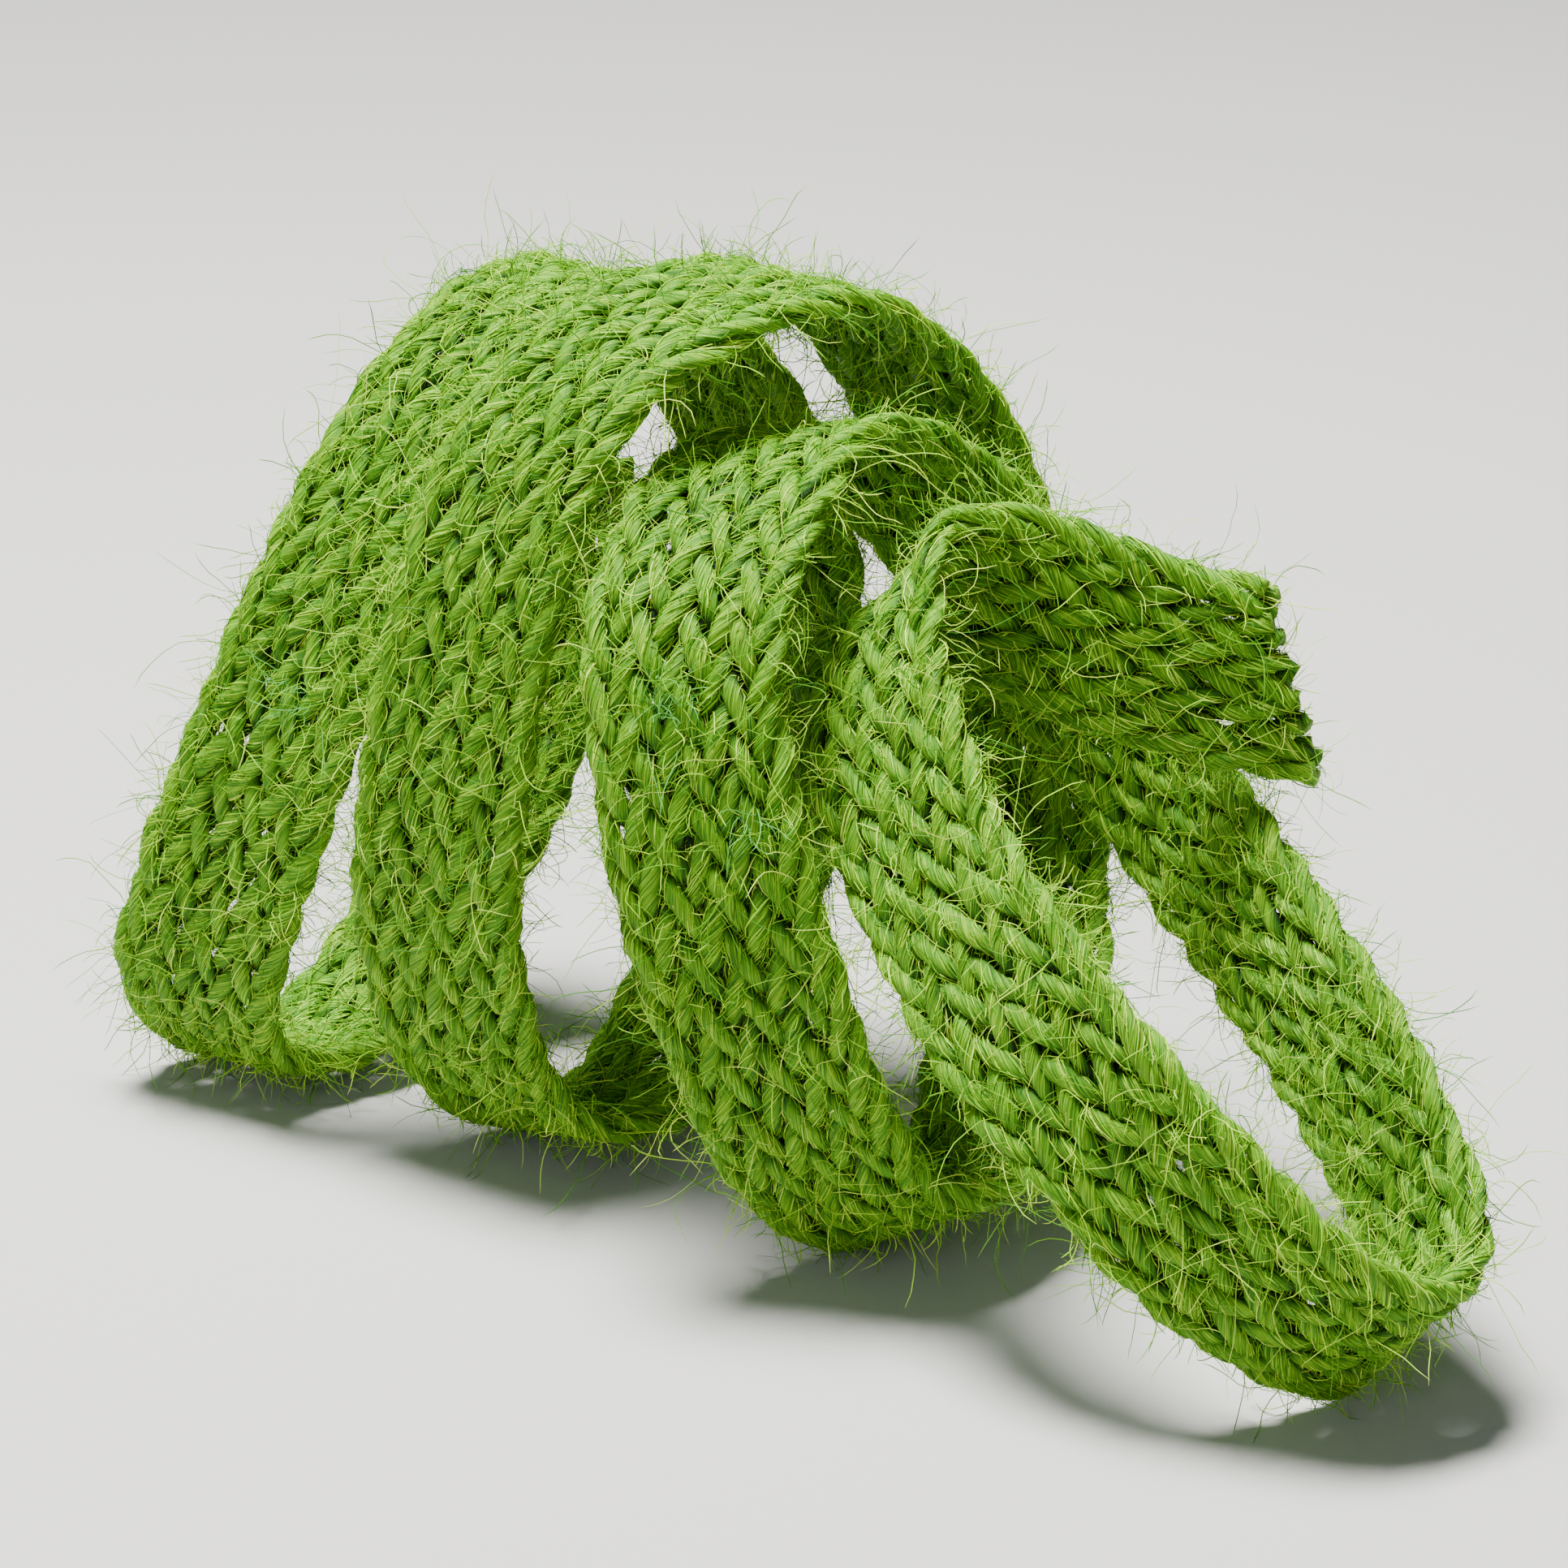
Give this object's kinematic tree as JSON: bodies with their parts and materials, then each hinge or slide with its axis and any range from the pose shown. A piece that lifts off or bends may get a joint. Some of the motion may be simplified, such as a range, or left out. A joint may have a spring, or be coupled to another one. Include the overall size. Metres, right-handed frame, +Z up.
{
  "type": "flat braided band",
  "caption": "Flat band braided from twisted green jute yarns, lying as a loose open coil with one end folded clear and both ends plainly cut.",
  "frame": {"origin": "on the surface that the coil lies on, under the middle of its bounding box", "axes": "+Z up, +X along the coil's axis towards the end with the wide last turn, +Y towards the back of the turns"},
  "size_m": [0.1149, 0.0504, 0.0691],
  "materials": {
    "green_jute": "matte"
  },
  "bodies": {
    "coil": {"yarn_01_coil": "green_jute", "yarn_02_coil": "green_jute", "yarn_03_coil": "green_jute", "yarn_04_coil": "green_jute", "yarn_05_coil": "green_jute", "yarn_06_coil": "green_jute", "yarn_07_coil": "green_jute", "yarn_08_coil": "green_jute", "yarn_09_coil": "green_jute", "yarn_10_coil": "green_jute", "yarn_11_coil": "green_jute", "yarn_12_coil": "green_jute", "yarn_13_coil": "green_jute", "yarn_14_coil": "green_jute", "yarn_15_coil": "green_jute", "yarn_16_coil": "green_jute", "yarn_17_coil": "green_jute"},
    "free_end": {"yarn_01_free_end": "green_jute", "yarn_02_free_end": "green_jute", "yarn_03_free_end": "green_jute", "yarn_04_free_end": "green_jute", "yarn_05_free_end": "green_jute", "yarn_06_free_end": "green_jute", "yarn_07_free_end": "green_jute", "yarn_08_free_end": "green_jute", "yarn_09_free_end": "green_jute", "yarn_10_free_end": "green_jute", "yarn_11_free_end": "green_jute", "yarn_12_free_end": "green_jute", "yarn_13_free_end": "green_jute", "yarn_14_free_end": "green_jute", "yarn_15_free_end": "green_jute", "yarn_16_free_end": "green_jute", "yarn_17_free_end": "green_jute"}
  },
  "joints": [
    {"name": "free_end_fold", "type": "hinge", "parent": "coil", "child": "free_end", "pos_m": [0.00467, -0.00171, 0.04951], "axis": [0.5726, -0.2488, 0.7812], "range_deg": [-30, 35], "stiffness_Nm_per_rad": 0.005}
  ]
}
